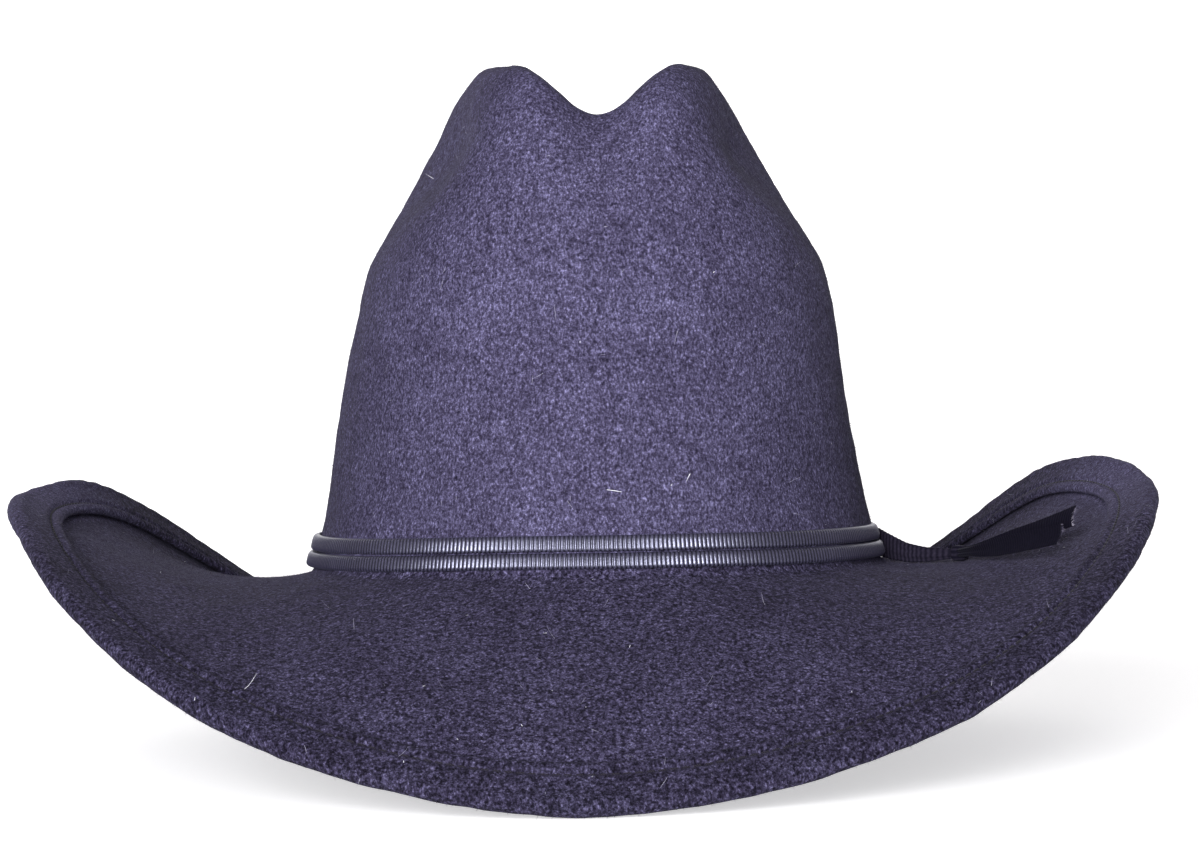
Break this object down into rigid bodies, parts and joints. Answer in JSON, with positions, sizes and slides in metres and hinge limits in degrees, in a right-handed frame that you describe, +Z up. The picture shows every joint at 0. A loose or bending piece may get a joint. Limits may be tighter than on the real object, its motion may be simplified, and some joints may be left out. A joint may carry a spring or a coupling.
{
  "type": "cowboy hat",
  "caption": "Felt western hat with a creased tapering crown, a brim rolled up at the sides, and a narrow two-tier ribbon band with a side bow.",
  "frame": {"origin": "centre of the head opening, where the crown meets the brim", "axes": "+Z up through the crown, -Y to the front of the hat, +X to the wearer's left"},
  "size_m": [0.3461, 0.3841, 0.2125],
  "materials": {
    "felt": "dark violet-grey wool felt with a short nap",
    "grosgrain": "ribbed grosgrain with a soft sheen",
    "thread": "dark sewing thread",
    "leather": "smooth dark brown leather",
    "tape": "woven cotton tape",
    "satin": "satin lining",
    "reed_plastic": "extruded reed",
    "spring_steel": "drawn spring wire",
    "ferrule_brass": "crimped tube"
  },
  "bodies": {
    "hat": {"felt_body": "felt", "brim_wire": "spring_steel", "brim_wire_ferrule": "ferrule_brass", "brim_edge_stitching": "thread", "band_ribbon_lower": "grosgrain", "band_ribbon_upper": "grosgrain", "bow_neck": "grosgrain", "bow_knot": "grosgrain", "sweatband": "leather", "sweatband_reed": "reed_plastic", "sweatband_reed_tape": "tape", "sweatband_stitching": "thread", "sweatband_back_seam": "thread", "sweatband_bow": "grosgrain", "lining_side": "satin", "lining_tip": "satin", "lining_tip_stitching": "thread"},
    "tail_upper": {"bow_tail_upper": "grosgrain"},
    "tail_lower": {"bow_tail_lower": "grosgrain"}
  },
  "joints": [
    {"name": "tail_upper_lift", "type": "hinge", "parent": "hat", "child": "tail_upper", "pos_m": [0.111, -0.014, 0.0012], "axis": [-0.835, -0.5503, 0], "range_deg": [0, 40]},
    {"name": "tail_lower_lift", "type": "hinge", "parent": "hat", "child": "tail_lower", "pos_m": [0.111, -0.014, 0.0012], "axis": [-0.9128, -0.4084, 0], "range_deg": [0, 40]}
  ]
}
